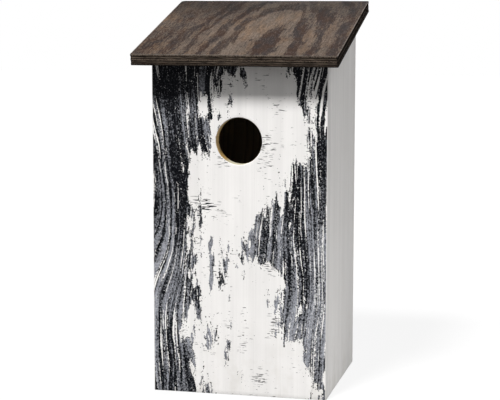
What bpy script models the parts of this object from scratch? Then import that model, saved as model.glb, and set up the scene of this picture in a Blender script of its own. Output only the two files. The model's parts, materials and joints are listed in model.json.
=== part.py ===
"""Bird nest box: a tall box of thin painted boards with a round entrance, under a plywood
roof that slopes to the front and swings up on two small butt hinges at the back.

Metres, +Z up. The front looks along -Y, and the origin is the middle of the box's base.
"""

import math

import bmesh
import bpy
from mathutils import Matrix

# Box
BOX_WIDTH = 0.122
BOX_DEPTH = 0.113
FRONT_HEIGHT = 0.2312  # at the outer face of the front panel
BOARD = 0.009
CORNER_ROUND = 0.001  # upright outer corners of the front and back panels
FIT_GAP = 0.0003  # between two pieces that bear on each other

# Entrance in the front panel
ENTRANCE_DIAMETER = 0.032
ENTRANCE_BELOW_TOP = 0.0552  # its middle below the top of the front panel
ENTRANCE_EASE = 0.0006  # rounding of its two rims

# Floor
DRAIN_DIAMETER = 0.005
DRAIN_INSET = 0.015  # from the edges of the floor to a hole's middle

# Roof
ROOF_PITCH_DEGREES = 15.0
ROOF_THICKNESS = 0.008
ROOF_FRONT_OVERHANG = 0.019
ROOF_SIDE_OVERHANG = 0.0095
ROOF_EASE = 0.0004  # chamfer on its edges

# Butt hinges
HINGE_LENGTH = 0.025
HINGE_INSET = 0.025  # from the side of the box to the middle of a hinge
LEAF_THICKNESS = 0.0008
LEAF_MARGIN = 0.0006  # of roof edge left bare above a leaf
LEAF_CORNER = 0.0012
HINGE_PIN_DIAMETER = 0.002
HINGE_PIN_CLEARANCE = 0.0002
HINGE_PIN_HEAD = 0.0006  # how far a peened end stands out, along and around the pin
KNUCKLE_WALL = 0.001
HINGE_SCREW_SPACING = 0.015
HINGE_SCREW_HEAD = 0.0026
HINGE_SCREW_SHANK = 0.0015
HINGE_SCREW_LENGTH = 0.008

# Hanger plate with a keyhole, over a recess in the back panel
HANGER_WIDTH = 0.020
HANGER_HEIGHT = 0.050
HANGER_THICKNESS = 0.0015
HANGER_CORNER = 0.004
HANGER_BELOW_HINGES = 0.036  # its middle below the hinge pins
KEYHOLE_DIAMETER = 0.009
KEYHOLE_SLOT_WIDTH = 0.0046
KEYHOLE_RISE = 0.009  # from the middle of the round hole to the top of the slot's travel
RECESS_MARGIN = 0.0012
RECESS_DEPTH = 0.005
HANGER_SCREW_INSET = 0.007
HANGER_SCREW_HEAD = 0.005
HANGER_SCREW_SHANK = 0.0026
HANGER_SCREW_LENGTH = 0.0085
SLOT_WIDTH_SHARE = 0.2  # of a screw's head diameter
SLOT_DEPTH_SHARE = 0.6  # of the depth of its cone

# Nails that hold the boards together
NAIL_HEAD = 0.0024
NAIL_HEAD_RIM = 0.0006
NAIL_SHANK = 0.0014
NAIL_LENGTH = 0.022
NAIL_SET = 0.0014  # how far a filled and painted head lies under the surface
WALL_NAIL_SHARES = (0.13, 0.5, 0.87)  # of a panel's height
FLOOR_NAIL_SHARES = (-0.18, 0.18)  # of the box's depth

# Fineness
ENTRANCE_SIDES = 48
ROUND_SIDES = 12
ARC_STEPS = 6
EASE_STEPS = 2
OVERRUN = 0.001  # how far every cut runs out of what it cuts
SAME_PLACE = 1e-7
SMOOTH_BELOW = math.radians(35)

# Places that follow from the sizes
PITCH = math.radians(ROOF_PITCH_DEGREES)
FRONT_Y = -BOX_DEPTH / 2
BACK_Y = BOX_DEPTH / 2
SIDE_X = BOX_WIDTH / 2
ROOF_WIDTH = BOX_WIDTH + 2 * ROOF_SIDE_OVERHANG
ROOF_RUN = BOX_DEPTH + ROOF_FRONT_OVERHANG - ROOF_THICKNESS * math.sin(PITCH)
ROOF_LENGTH = ROOF_RUN / math.cos(PITCH)

KNUCKLE_RADIUS = HINGE_PIN_DIAMETER / 2 + HINGE_PIN_CLEARANCE + KNUCKLE_WALL
KNUCKLE_LENGTH = (HINGE_LENGTH - 2 * FIT_GAP) / 3
LEAF_WIDTH = ROOF_THICKNESS - LEAF_MARGIN  # from the pin's axis to the free edge
LEAF_ROOT = KNUCKLE_RADIUS + FIT_GAP  # where a leaf starts beside the other's knuckle
LEAF_BACK = -KNUCKLE_RADIUS  # of the face towards the wood, from the axis
LEAF_FACE = LEAF_BACK + LEAF_THICKNESS
HINGE_SCREW_REACH = (LEAF_ROOT + LEAF_WIDTH) / 2
HINGE_X = SIDE_X - HINGE_INSET
AXIS_OFF_WOOD = FIT_GAP + KNUCKLE_RADIUS
AXIS_RISE = AXIS_OFF_WOOD * math.tan(PITCH / 2)  # the pin is as far from both faces


def wall_top(y):
    """Height of the bevelled top of the walls at y."""
    return FRONT_HEIGHT + (y - FRONT_Y) * math.tan(PITCH)


AXIS_Y = BACK_Y + AXIS_OFF_WOOD
AXIS_Z = wall_top(BACK_Y) + FIT_GAP / math.cos(PITCH) + AXIS_RISE
ENTRANCE_Z = FRONT_HEIGHT - ENTRANCE_BELOW_TOP
HANGER_Z = AXIS_Z - HANGER_BELOW_HINGES
HANGER_FACE_Y = BACK_Y + FIT_GAP + HANGER_THICKNESS

# Turns that point a fastener's head to a side of the box
HEAD_FRONT = (math.pi / 2, 0, 0)
HEAD_BACK = (-math.pi / 2, 0, 0)
HEAD_RIGHT = (0, math.pi / 2, 0)
HEAD_LEFT = (0, -math.pi / 2, 0)


def clear_scene():
    for obj in list(bpy.data.objects):
        bpy.data.objects.remove(obj, do_unlink=True)


def finish_material(name, colour, roughness, metallic=0.0):
    """A plain Principled finish."""
    material = bpy.data.materials.new(name)
    material.use_nodes = True
    shader = material.node_tree.nodes["Principled BSDF"]
    shader.inputs["Base Color"].default_value = (*colour, 1)
    shader.inputs["Roughness"].default_value = roughness
    shader.inputs["Metallic"].default_value = metallic
    material.diffuse_color = (*colour, 1)
    return material


def carrier(name, location=(0, 0, 0), turn=(0, 0, 0)):
    """An empty that carries the pieces of one body."""
    empty = bpy.data.objects.new(name, None)
    empty.empty_display_size = BOARD
    empty.location = location
    empty.rotation_euler = turn
    bpy.context.collection.objects.link(empty)
    return empty


def mesh_from(name, bm, smooth=False):
    mesh = bpy.data.meshes.new(name)
    bm.to_mesh(mesh)
    bm.free()
    if smooth:
        mesh.shade_smooth()
        mesh.set_sharp_from_angle(angle=SMOOTH_BELOW)
    return mesh


def piece(name, mesh, material, parent, location=(0, 0, 0), turn=(0, 0, 0)):
    """One named sub-part, placed under its body's carrier."""
    obj = bpy.data.objects.new(name, mesh)
    if not mesh.materials:
        mesh.materials.append(material)
    obj.parent = parent
    obj.location = location
    obj.rotation_euler = turn
    bpy.context.collection.objects.link(obj)
    return obj


def cutter_for(target, name, bm):
    """A hidden cutter, in the coordinates of the piece that it cuts."""
    obj = bpy.data.objects.new(name, mesh_from(name, bm))
    obj.parent = target.parent
    obj.location = target.location
    obj.rotation_euler = target.rotation_euler
    obj.hide_render = True
    obj.display_type = "WIRE"
    bpy.context.collection.objects.link(obj)
    return obj


def cut(obj, cutter):
    modifier = obj.modifiers.new(cutter.name, "BOOLEAN")
    modifier.operation = "DIFFERENCE"
    modifier.object = cutter


def prism(bm, outline, along, start, end):
    """Extrude an outline along an axis. Its (u, v) points are in the other two, in X, Y, Z order."""
    orders = {"X": (2, 0, 1), "Y": (0, 2, 1), "Z": (0, 1, 2)}
    order = orders[along]

    def place(u, v, w):
        values = (u, v, w)
        return [values[index] for index in order]

    face = bm.faces.new([bm.verts.new(place(u, v, start)) for u, v in outline])
    grown = bmesh.ops.extrude_face_region(bm, geom=[face])["geom"]
    moved = [item for item in grown if isinstance(item, bmesh.types.BMVert)]
    bmesh.ops.translate(bm, verts=moved, vec=place(0, 0, end - start))
    bmesh.ops.recalc_face_normals(bm, faces=bm.faces)


def turned(bm, profile, sides, place=Matrix()):
    """Spin a profile of (radius, height) pairs, from axis to axis, into a closed solid."""
    before = set(bm.verts)
    verts = [bm.verts.new((radius, 0, height)) for radius, height in profile]
    edges = [bm.edges.new(ends) for ends in zip(verts, verts[1:])]
    bmesh.ops.spin(
        bm,
        geom=verts + edges,
        cent=(0, 0, 0),
        axis=(0, 0, 1),
        angle=2 * math.pi,
        steps=sides,
        use_merge=True,
    )
    made = [vert for vert in bm.verts if vert not in before]
    bmesh.ops.remove_doubles(bm, verts=made, dist=SAME_PLACE)
    made = [vert for vert in bm.verts if vert not in before]
    bmesh.ops.transform(bm, matrix=place, verts=made)
    bmesh.ops.recalc_face_normals(bm, faces=bm.faces)


def bevel(bm, edges, width, steps):
    bmesh.ops.bevel(
        bm,
        geom=edges,
        offset=width,
        offset_type="OFFSET",
        segments=steps,
        profile=0.5,
        affect="EDGES",
    )


def placed(location, turn=(0, 0, 0)):
    """Matrix of a place and an X and Y turn, as an object's location and rotation give it."""
    spin_x = Matrix.Rotation(turn[0], 4, "X")
    spin_y = Matrix.Rotation(turn[1], 4, "Y")
    return Matrix.Translation(location) @ spin_y @ spin_x


def cylinder(radius, bottom, top):
    return [(0, bottom), (radius, bottom), (radius, top), (0, top)]


def rectangle(low_u, high_u, low_v, high_v):
    return [(low_u, low_v), (high_u, low_v), (high_u, high_v), (low_u, high_v)]


def arc(centre_u, centre_v, radius, start, end, steps=ARC_STEPS):
    """Points of an arc between two angles, in degrees."""
    angles = [math.radians(start + (end - start) * step / steps) for step in range(steps + 1)]
    return [(centre_u + radius * math.cos(a), centre_v + radius * math.sin(a)) for a in angles]


def rounded_rectangle(half_u, half_v, corner):
    """Outline about the origin, counter-clockwise."""
    points = []
    for start, sign_u, sign_v in ((0, 1, 1), (90, -1, 1), (180, -1, -1), (270, 1, -1)):
        centre_u = sign_u * (half_u - corner)
        centre_v = sign_v * (half_v - corner)
        points += arc(centre_u, centre_v, corner, start, start + 90, ARC_STEPS // 2)
    return points


def capsule(radius, low_v, high_v):
    """A slot's outline, with its two round ends centred on low_v and high_v."""
    return arc(0, high_v, radius, 0, 180) + arc(0, low_v, radius, 180, 360)


def keyhole(radius, slot_radius, low_v, high_v):
    """A round hole with a narrower slot that rises from it."""
    meet = math.degrees(math.acos(slot_radius / radius))
    hole = arc(0, low_v, radius, 180 - meet, 360 + meet, 3 * ARC_STEPS)
    return hole + arc(0, high_v, slot_radius, 0, 180)


def moved_outline(outline, up):
    return [(u, v + up) for u, v in outline]


# Fasteners


def fastener_profile(head, rim, shank, length):
    """Half a countersunk fastener with its head up: (radius, height) pairs."""
    cone = (head - shank) / 2
    return [
        (0, 0),
        (head / 2, 0),
        (head / 2, -rim),
        (shank / 2, -rim - cone),
        (shank / 2, shank - length),
        (0, -length),
    ]


def socket_profile(head, rim, shank, length, mouth):
    """The hole that such a fastener sits in. Its mouth reaches that far above the head."""
    cone = (head - shank) / 2
    wide = head / 2 + FIT_GAP
    narrow = shank / 2 + FIT_GAP
    return [
        (0, mouth),
        (wide, mouth),
        (wide, -rim),
        (narrow, -rim - cone),
        (narrow, -length - FIT_GAP),
        (0, -length - FIT_GAP),
    ]


def screw_mesh(name, head, shank, length):
    """A countersunk screw with one driver slot, cut by a Boolean and kept as a mesh."""
    bm = bmesh.new()
    turned(bm, fastener_profile(head, 0, shank, length), ROUND_SIDES)
    screw = bpy.data.objects.new(name, mesh_from(name, bm, smooth=True))
    bpy.context.collection.objects.link(screw)
    bm = bmesh.new()
    half = head * SLOT_WIDTH_SHARE / 2
    depth = (head - shank) / 2 * SLOT_DEPTH_SHARE
    prism(bm, rectangle(-head, head, -half, half), "Z", -depth, OVERRUN)
    slot = cutter_for(screw, name + "_slot", bm)
    cut(screw, slot)
    evaluated = screw.evaluated_get(bpy.context.evaluated_depsgraph_get())
    mesh = bpy.data.meshes.new_from_object(evaluated)
    for obj in (screw, slot):
        bpy.data.objects.remove(obj, do_unlink=True)
    mesh.name = name
    return mesh


class Joinery:
    """Drives fasteners, and bores every piece that they pass through."""

    def __init__(self):
        self.sockets = {}

    def bore(self, board, profile, place, sides=ROUND_SIDES):
        """Add one turned hole to a piece. Its place is in the coordinates of the piece."""
        if board.name not in self.sockets:
            self.sockets[board.name] = (board, bmesh.new())
        turned(self.sockets[board.name][1], profile, sides, place)

    def drive(self, name, mesh, material, sizes, mouth, location, turn, boards):
        """One fastener, at a place in the coordinates of the carrier of its boards."""
        piece(name, mesh, material, boards[0].parent, location, turn)
        for board in boards:
            base = placed(board.location, board.rotation_euler)
            place = base.inverted() @ placed(location, turn)
            self.bore(board, socket_profile(*sizes, mouth), place)

    def cut_all(self):
        for board, bm in self.sockets.values():
            cut(board, cutter_for(board, board.name + "_holes", bm))


# Boards


def wall_outline(front, back):
    """Side view of a wall that stands on the ground and is bevelled to the roof's pitch."""
    return [(front, 0), (back, 0), (back, wall_top(back)), (front, wall_top(front))]


def panel(name, front, back, outer, material, parent):
    """A front or back panel: the box's full width, with its outer upright corners rounded."""
    bm = bmesh.new()
    prism(bm, wall_outline(front, back), "X", -SIDE_X, SIDE_X)
    corners = []
    for edge in bm.edges:
        on_face = all(abs(vert.co.y - outer) < SAME_PLACE for vert in edge.verts)
        upright = abs(edge.verts[0].co.x - edge.verts[1].co.x) < SAME_PLACE
        if on_face and upright:
            corners.append(edge)
    bevel(bm, corners, CORNER_ROUND, EASE_STEPS)
    return piece(name, mesh_from(name, bm), material, parent)


def side_board(name, side, material, parent):
    """A side board, held between the front and back panels and flush with their ends."""
    inner = FRONT_Y + BOARD + FIT_GAP
    bm = bmesh.new()
    prism(bm, wall_outline(inner, -inner), "X", side * SIDE_X, side * (SIDE_X - BOARD))
    return piece(name, mesh_from(name, bm), material, parent)


def floor_board(joinery, material, parent):
    """The floor, let in between the four walls and level with their feet."""
    half_x = SIDE_X - BOARD - FIT_GAP
    half_y = BACK_Y - BOARD - FIT_GAP
    bm = bmesh.new()
    prism(bm, rectangle(-half_x, half_x, -half_y, half_y), "Z", 0, BOARD)
    floor = piece("floor", mesh_from("floor", bm), material, parent)
    drain = cylinder(DRAIN_DIAMETER / 2, -OVERRUN, BOARD + OVERRUN)
    for x in (DRAIN_INSET - half_x, half_x - DRAIN_INSET):
        for y in (DRAIN_INSET - half_y, half_y - DRAIN_INSET):
            joinery.bore(floor, drain, placed((x, y, 0)))
    return floor


def entrance_profile():
    """The cutter of the entrance, with both rims rounded. Its height 0 is the outer face."""
    radius = ENTRANCE_DIAMETER / 2
    wide = radius + ENTRANCE_EASE
    outer_rim = arc(wide, -ENTRANCE_EASE, ENTRANCE_EASE, 90, 180, EASE_STEPS)
    inner_rim = arc(wide, ENTRANCE_EASE - BOARD, ENTRANCE_EASE, 180, 270, EASE_STEPS)
    mouth = [(0, OVERRUN), (wide, OVERRUN)]
    end = [(wide, -BOARD - OVERRUN), (0, -BOARD - OVERRUN)]
    return mouth + outer_rim + inner_rim + end


def roof_board(material, parent):
    """The roof, in its own plane: +Y up the slope, from its lower back edge."""
    bm = bmesh.new()
    outline = rectangle(-ROOF_WIDTH / 2, ROOF_WIDTH / 2, -ROOF_LENGTH, 0)
    prism(bm, outline, "Z", 0, ROOF_THICKNESS)
    bevel(bm, list(bm.edges), ROOF_EASE, 1)
    place = (0, -AXIS_OFF_WOOD, AXIS_RISE)
    return piece("roof", mesh_from("roof", bm), material, parent, place)


# Hinges, each about its pin's axis, with the wood on the -Y side


def leaf_section(up):
    """Section of a leaf rolled round the pin, as (y, z) points. up is 1 or -1."""
    leave = math.degrees(math.acos(LEAF_FACE / KNUCKLE_RADIUS))
    rolled = arc(0, 0, KNUCKLE_RADIUS, 180, -leave, 2 * ARC_STEPS)
    section = [(LEAF_BACK, -LEAF_WIDTH)] + rolled + [(LEAF_FACE, -LEAF_WIDTH)]
    return [(y, -up * z) for y, z in section]


def other_knuckles(middle):
    """Stretches of the pin that a leaf leaves to the other's knuckles."""
    inner = KNUCKLE_LENGTH / 2
    if middle:
        end = HINGE_LENGTH / 2 + OVERRUN
        return [(-end, -inner), (inner, end)]
    return [(-inner - FIT_GAP, inner + FIT_GAP)]


def round_leaf_corners(bm):
    """Round the two corners of a leaf's free edge."""
    corners = []
    for edge in bm.edges:
        at_free_edge = all(abs(abs(vert.co.z) - LEAF_WIDTH) < SAME_PLACE for vert in edge.verts)
        across = abs(edge.verts[0].co.x - edge.verts[1].co.x) < SAME_PLACE
        if at_free_edge and across:
            corners.append(edge)
    bevel(bm, corners, LEAF_CORNER, EASE_STEPS)


def leaf(joinery, name, middle, up, material, parent, location):
    """One leaf with its middle or its two outer knuckles, bored for the pin."""
    half = HINGE_LENGTH / 2
    bm = bmesh.new()
    prism(bm, leaf_section(up), "X", -half, half)
    round_leaf_corners(bm)
    obj = piece(name, mesh_from(name, bm, smooth=True), material, parent, location)

    bm = bmesh.new()
    reach = KNUCKLE_RADIUS + OVERRUN
    for start, end in other_knuckles(middle):
        notch = rectangle(-reach, reach, -reach, LEAF_ROOT)
        prism(bm, [(y, up * z) for y, z in notch], "X", start, end)
    cut(obj, cutter_for(obj, name + "_notches", bm))

    bore = HINGE_PIN_DIAMETER / 2 + HINGE_PIN_CLEARANCE
    along = placed((0, 0, 0), HEAD_RIGHT)
    joinery.bore(obj, cylinder(bore, -half - OVERRUN, half + OVERRUN), along)
    return obj


def hinge_pin_mesh():
    """A plain pin with two peened ends that keep it in its knuckles."""
    radius = HINGE_PIN_DIAMETER / 2
    end = HINGE_LENGTH / 2 + FIT_GAP
    head = radius + HINGE_PIN_HEAD
    dome = arc(radius, end, HINGE_PIN_HEAD, 0, 90, EASE_STEPS)
    upper = [(radius, end), (head, end)] + dome[1:] + [(0, end + HINGE_PIN_HEAD)]
    lower = [(r, -z) for r, z in reversed(upper)]
    bm = bmesh.new()
    turned(bm, lower + upper, ROUND_SIDES)
    return mesh_from("hinge_pin", bm, smooth=True)


def hang_roof(joinery, back_panel, roof, steel, box, roof_carrier):
    """Two hinges with their pins and screws. The outer knuckles belong to the box."""
    pin = hinge_pin_mesh()
    sizes = (HINGE_SCREW_HEAD, 0, HINGE_SCREW_SHANK, HINGE_SCREW_LENGTH)
    screw = screw_mesh("hinge_screw", HINGE_SCREW_HEAD, HINGE_SCREW_SHANK, HINGE_SCREW_LENGTH)
    count = 0
    for side, middle_x in (("left", -HINGE_X), ("right", HINGE_X)):
        name = side + "_hinge"
        place = (middle_x, AXIS_Y, AXIS_Z)
        back_leaf = leaf(joinery, name + "_back_leaf", False, -1, steel, box, place)
        piece(name + "_pin", pin, steel, box, place, HEAD_RIGHT)
        place = (middle_x, 0, 0)
        roof_leaf = leaf(joinery, name + "_roof_leaf", True, 1, steel, roof_carrier, place)
        for x in (middle_x - HINGE_SCREW_SPACING / 2, middle_x + HINGE_SCREW_SPACING / 2):
            count += 1
            place = (x, AXIS_Y + LEAF_FACE, AXIS_Z - HINGE_SCREW_REACH)
            label = f"hinge_back_screw_{count}"
            boards = [back_leaf, back_panel]
            joinery.drive(label, screw, steel, sizes, OVERRUN, place, HEAD_BACK, boards)
            place = (x, LEAF_FACE, HINGE_SCREW_REACH)
            label = f"hinge_roof_screw_{count}"
            boards = [roof_leaf, roof]
            joinery.drive(label, screw, steel, sizes, OVERRUN, place, HEAD_BACK, boards)


def hanger(joinery, back_panel, steel, box):
    """The hanger plate, its two screws, and the recess that takes the wall screw's head."""
    outline = rounded_rectangle(HANGER_WIDTH / 2, HANGER_HEIGHT / 2, HANGER_CORNER)
    bm = bmesh.new()
    prism(bm, moved_outline(outline, HANGER_Z), "Y", BACK_Y + FIT_GAP, HANGER_FACE_Y)
    plate = piece("hanger_plate", mesh_from("hanger_plate", bm), steel, box)

    low = HANGER_Z - KEYHOLE_RISE / 2
    high = HANGER_Z + KEYHOLE_RISE / 2
    bm = bmesh.new()
    hole = keyhole(KEYHOLE_DIAMETER / 2, KEYHOLE_SLOT_WIDTH / 2, low, high)
    prism(bm, hole, "Y", BACK_Y, HANGER_FACE_Y + OVERRUN)
    cut(plate, cutter_for(plate, "keyhole", bm))

    bm = bmesh.new()
    slot = capsule(KEYHOLE_DIAMETER / 2 + RECESS_MARGIN, low, high)
    prism(bm, slot, "Y", BACK_Y - RECESS_DEPTH, BACK_Y + OVERRUN)
    cut(back_panel, cutter_for(back_panel, "hanger_recess", bm))

    sizes = (HANGER_SCREW_HEAD, 0, HANGER_SCREW_SHANK, HANGER_SCREW_LENGTH)
    screw = screw_mesh("hanger_screw", HANGER_SCREW_HEAD, HANGER_SCREW_SHANK, HANGER_SCREW_LENGTH)
    reach = HANGER_HEIGHT / 2 - HANGER_SCREW_INSET
    for number, z in enumerate((HANGER_Z + reach, HANGER_Z - reach), start=1):
        place = (0, HANGER_FACE_Y, z)
        label = f"hanger_screw_{number}"
        boards = [plate, back_panel]
        joinery.drive(label, screw, steel, sizes, OVERRUN, place, HEAD_BACK, boards)


def nail_boards(joinery, front, back, sides, floor, steel):
    """Nails through the panels into the side boards, and through these into the floor."""
    sizes = (NAIL_HEAD, NAIL_HEAD_RIM, NAIL_SHANK, NAIL_LENGTH)
    bm = bmesh.new()
    turned(bm, fastener_profile(*sizes), ROUND_SIDES)
    nail = mesh_from("nail", bm, smooth=True)
    count = 0
    for sign, board in sides:
        x = sign * (SIDE_X - BOARD / 2)
        for share in WALL_NAIL_SHARES:
            count += 1
            place = (x, FRONT_Y + NAIL_SET, share * FRONT_HEIGHT)
            label = f"front_nail_{count}"
            boards = [front, board]
            joinery.drive(label, nail, steel, sizes, FIT_GAP, place, HEAD_FRONT, boards)
            place = (x, BACK_Y, share * wall_top(BACK_Y))
            label = f"back_nail_{count}"
            boards = [back, board]
            joinery.drive(label, nail, steel, sizes, OVERRUN, place, HEAD_BACK, boards)
    count = 0
    for sign, board in sides:
        turn = HEAD_RIGHT if sign > 0 else HEAD_LEFT
        for share in FLOOR_NAIL_SHARES:
            count += 1
            place = (sign * (SIDE_X - NAIL_SET), share * BOX_DEPTH, BOARD / 2)
            label = f"floor_nail_{count}"
            boards = [board, floor]
            joinery.drive(label, nail, steel, sizes, FIT_GAP, place, turn, boards)


def main():
    clear_scene()
    printed = finish_material("printed_white_paint", (0.55, 0.55, 0.55), 0.6)
    white = finish_material("white_paint", (0.82, 0.81, 0.79), 0.6)
    raw = finish_material("raw_wood", (0.56, 0.42, 0.25), 0.7)
    stained = finish_material("stained_plywood", (0.10, 0.075, 0.06), 0.65)
    steel = finish_material("zinc_plated_steel", (0.55, 0.55, 0.56), 0.35, 1.0)

    box = carrier("box")
    roof_carrier = carrier("roof_hinge", (0, AXIS_Y, AXIS_Z), (PITCH, 0, 0))

    joinery = Joinery()
    front = panel("front_panel", FRONT_Y, FRONT_Y + BOARD, FRONT_Y, printed, box)
    back = panel("back_panel", BACK_Y - BOARD, BACK_Y, BACK_Y, white, box)
    left = side_board("left_side", -1, white, box)
    right = side_board("right_side", 1, white, box)
    floor = floor_board(joinery, raw, box)
    roof = roof_board(stained, roof_carrier)

    at_entrance = placed((0, FRONT_Y, ENTRANCE_Z), HEAD_FRONT)
    joinery.bore(front, entrance_profile(), at_entrance, ENTRANCE_SIDES)
    nail_boards(joinery, front, back, ((-1, left), (1, right)), floor, steel)
    hanger(joinery, back, steel, box)
    hang_roof(joinery, back, roof, steel, box, roof_carrier)
    joinery.cut_all()


main()
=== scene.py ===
"""Looks of the bird nest box: a stained plywood roof, painted boards with a bark print, bare wood
inside, and zinc-plated fittings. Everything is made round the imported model, in metres.
"""

import json
import math
from functools import partial, partialmethod

import bmesh
import bpy
from bpy.props import FloatProperty, FloatVectorProperty, IntProperty, PointerProperty
from mathutils import Matrix, Vector, noise


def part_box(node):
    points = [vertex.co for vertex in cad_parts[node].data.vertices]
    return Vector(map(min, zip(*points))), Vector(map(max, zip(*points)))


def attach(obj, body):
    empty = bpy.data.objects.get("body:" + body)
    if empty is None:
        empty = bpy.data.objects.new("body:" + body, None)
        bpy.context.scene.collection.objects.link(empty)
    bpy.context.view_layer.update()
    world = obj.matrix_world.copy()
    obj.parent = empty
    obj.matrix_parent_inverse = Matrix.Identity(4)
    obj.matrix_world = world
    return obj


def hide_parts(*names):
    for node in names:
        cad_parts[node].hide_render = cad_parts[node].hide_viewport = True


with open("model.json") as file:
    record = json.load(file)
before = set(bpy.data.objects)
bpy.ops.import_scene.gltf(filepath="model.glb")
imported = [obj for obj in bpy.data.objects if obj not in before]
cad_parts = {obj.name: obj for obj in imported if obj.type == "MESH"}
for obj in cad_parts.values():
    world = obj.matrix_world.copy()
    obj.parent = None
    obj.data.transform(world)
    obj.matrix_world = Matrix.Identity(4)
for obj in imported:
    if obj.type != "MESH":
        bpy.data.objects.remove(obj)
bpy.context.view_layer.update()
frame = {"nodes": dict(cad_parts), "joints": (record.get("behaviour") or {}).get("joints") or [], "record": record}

bl_info = {
    "name": "Nest Box Looks",
    "version": (1, 0, 0),
    "blender": (4, 5, 0),
    "location": "View3D > Sidebar > Nest Box",
    "description": "Finishes the boards, roof and fittings of a bird nest box",
    "category": "Object",
}

BOX_BODY = "nest_box"
ROOF_BODY = "roof_lid"
MM = 0.001
SAME_PLACE = 1e-6
SMOOTH_BELOW = math.radians(40)
ROLL_END = math.radians(118)
FACES_THAT_WAY = math.cos(SMOOTH_BELOW)


# What the frame says


def cad_points(node):
    return [vert.co.copy() for vert in frame["nodes"][node].data.vertices]


def roof_pitch():
    """Slope of the roof, from its largest face."""
    face = max(frame["nodes"]["roof"].data.polygons, key=lambda polygon: polygon.area)
    return math.atan2(abs(face.normal.y), abs(face.normal.z))


def box_in(turn, node):
    """Lowest and highest corner of a node in a turned frame."""
    back = turn.inverted()
    points = [back @ point for point in cad_points(node)]
    low = Vector(min(point[axis] for point in points) for axis in range(3))
    high = Vector(max(point[axis] for point in points) for axis in range(3))
    return low, high


def roof_box():
    """Middle of the roof's lower front edge, and its size, in the pitched frame."""
    low, high = box_in(PITCHED, "roof")
    return Vector(((low.x + high.x) / 2, low.y, low.z)), high - low


def entrance_height():
    """Height of the entrance's middle."""
    openings = frame["record"]["physics"]["openings"]
    low, high = next(entry["box_m"] for entry in openings if entry["name"] == "entrance")
    return (low[2] + high[2]) / 2


def wall_top(y):
    """Height of the sloped top of the walls at y."""
    return BACK_HIGH.z - (BACK_HIGH.y - y) * math.tan(PITCH)


def end_of(node, direction):
    """Middle of the flat end of a fastener that faces that direction."""
    points = cad_points(node)
    reach = max(point.dot(direction) for point in points)
    ends = [point for point in points if reach - point.dot(direction) < SAME_PLACE]
    return sum(ends, Vector()) / len(ends)


BACK = Vector((0, 1, 0))
UP = Vector((0, 0, 1))
PITCH = roof_pitch()
UPRIGHT = Matrix.Identity(4)
PITCHED = Matrix.Rotation(PITCH, 4, "X")
LYING = Matrix.Rotation(math.pi / 2, 4, "Y")
ROOF_BACK = PITCHED @ BACK
ROOF_UP = PITCHED @ UP
HINGE_AXIS = Vector(frame["joints"][0]["pos_m"])

FRONT_LOW, FRONT_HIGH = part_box("front_panel")
BACK_LOW, BACK_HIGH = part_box("back_panel")
PLATE_LOW, PLATE_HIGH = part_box("hanger_plate")
FRONT_Y = FRONT_LOW.y
BACK_Y = BACK_HIGH.y
SIDE_X = FRONT_HIGH.x
BOARD = FRONT_HIGH.y - FRONT_LOW.y
ENTRANCE_Z = entrance_height()
ROOF_ORIGIN, ROOF_SIZE = roof_box()
ROOF_PLACE = PITCHED @ Matrix.Translation(ROOF_ORIGIN)


# Sizes and colours that a user may change


def measure(name, description, default, **kind):
    return FloatProperty(name=name, description=description, default=default, **kind)


metres = partial(measure, unit="LENGTH")
fraction = partial(measure, subtype="FACTOR")
radians = partial(measure, subtype="ANGLE")


def swatch(name, description, *default):
    """A colour, from its linear red, green and blue."""
    words = {"name": name, "description": description, "default": (*default, 1)}
    return FloatVectorProperty(**words, subtype="COLOR", size=4, min=0, max=1)


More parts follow.
